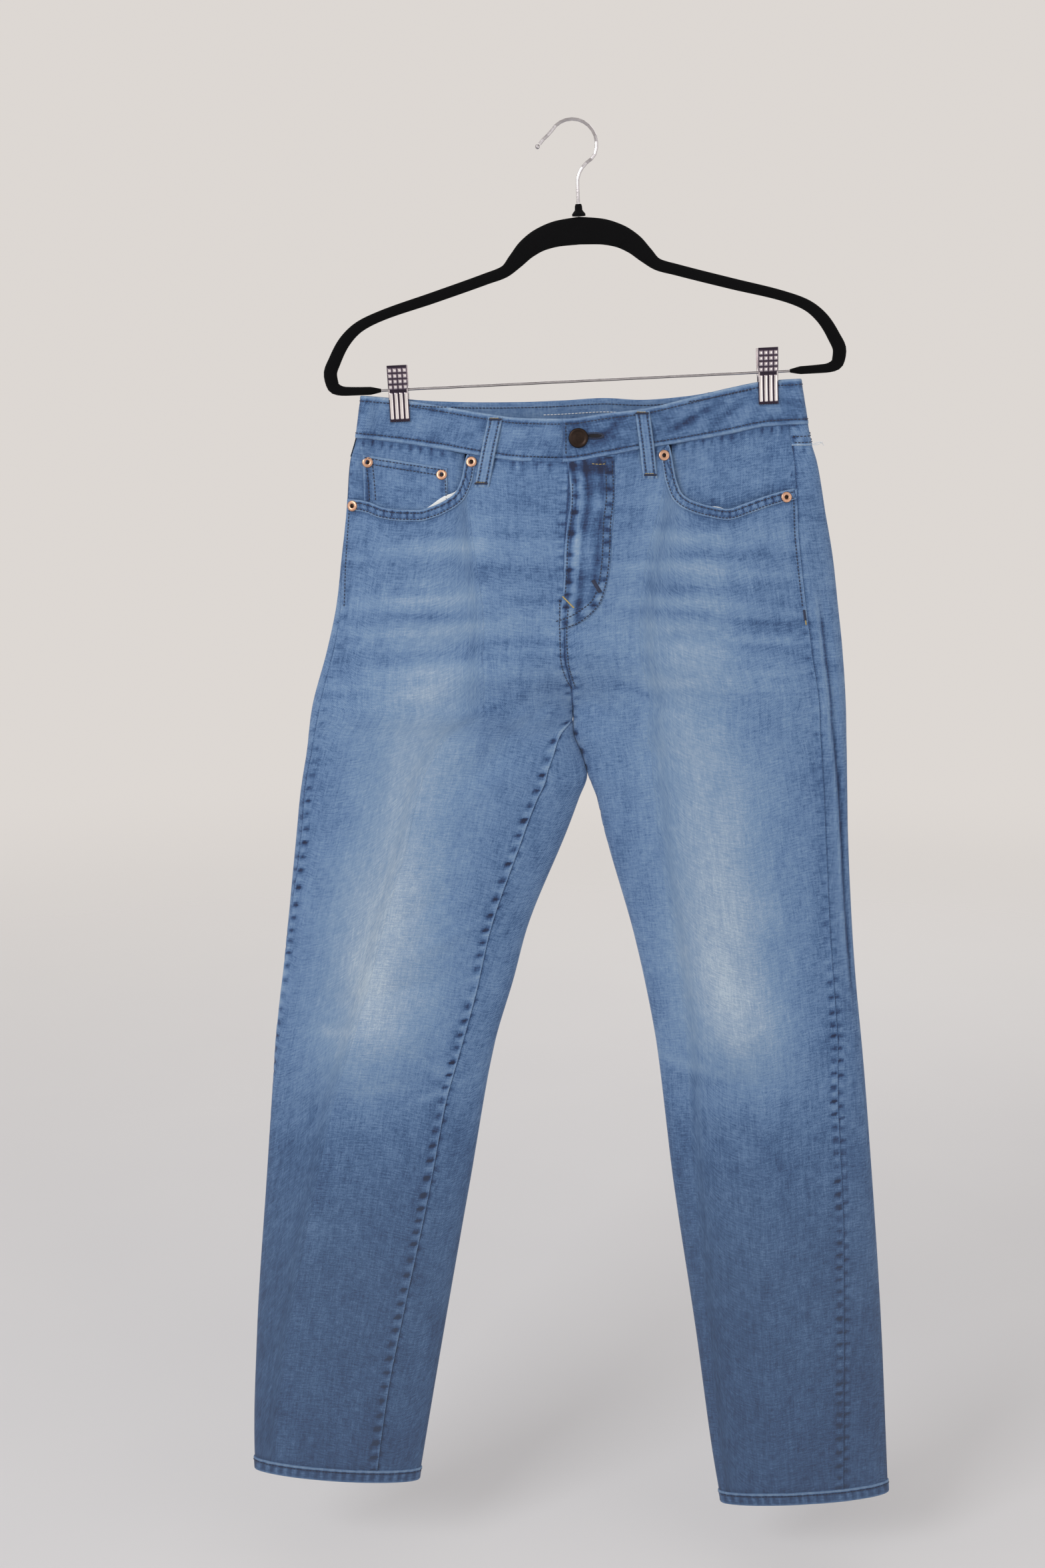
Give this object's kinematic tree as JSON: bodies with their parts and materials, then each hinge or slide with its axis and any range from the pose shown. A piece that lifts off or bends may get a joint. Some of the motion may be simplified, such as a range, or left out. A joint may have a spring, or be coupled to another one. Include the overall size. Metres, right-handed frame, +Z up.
{
  "type": "jeans on a clip hanger",
  "caption": "Slim five-pocket jeans in washed denim, held by the waistband in two sprung clips on a flocked hanger with a wire hook",
  "frame": {"origin": "The top of the hook's inside, where a rail or peg bears on the wire", "axes": "+X to the viewer's right, which is the wearer's left; +Y away from the viewer, from the front to the back of the jeans; +Z up"},
  "size_m": [0.6044, 0.0549, 1.2609],
  "materials": {
    "denim": "washed and faded twill",
    "pocket_lining": "plain cotton",
    "copper": "worn copper",
    "button_metal": "dark antique",
    "velvet": "black flocking",
    "chrome": "bright",
    "zip_brass": "satin"
  },
  "bodies": {
    "root": {"back_leg_left_hip": "denim", "back_leg_left_knee": "denim", "back_leg_left_shin": "denim", "back_leg_left_thigh": "denim", "back_leg_right_hip": "denim", "back_leg_right_knee": "denim", "back_leg_right_shin": "denim", "back_leg_right_thigh": "denim", "back_pocket_left": "denim", "back_pocket_right": "denim", "belt_loop_back_centre": "denim", "belt_loop_back_left": "denim", "belt_loop_back_right": "denim", "belt_loop_front_left": "denim", "belt_loop_front_right": "denim", "button": "button_metal", "clip_back_left": "chrome", "clip_back_right": "chrome", "clip_front_left": "chrome", "clip_front_right": "chrome", "clip_spring_left": "chrome", "clip_spring_right": "chrome", "coin_pocket": "denim", "fly_front": "denim", "fly_shield": "denim", "front_leg_left_hip": "denim", "front_leg_left_knee": "denim", "front_leg_left_shin": "denim", "front_leg_left_thigh": "denim", "front_leg_right_hip": "denim", "front_leg_right_knee": "denim", "front_leg_right_shin": "denim", "front_leg_right_thigh": "denim", "hanger_bar": "chrome", "hanger_body": "velvet", "hanger_collar": "velvet", "hanger_hook": "chrome", "hem_left": "denim", "hem_right": "denim", "hook_tip": "chrome", "pocket_bag_left": "pocket_lining", "pocket_bag_right": "pocket_lining", "pocket_edge_left": "denim", "pocket_edge_right": "denim", "pocket_facing_left": "denim", "pocket_facing_right": "denim", "rivet_coin_inner": "copper", "rivet_coin_outer": "copper", "rivet_left_lower": "copper", "rivet_left_upper": "copper", "rivet_right_lower": "copper", "rivet_right_upper": "copper", "waistband": "denim", "yoke_left": "denim", "yoke_right": "denim", "zip": "zip_brass", "zip_slider": "zip_brass"}
  },
  "joints": []
}
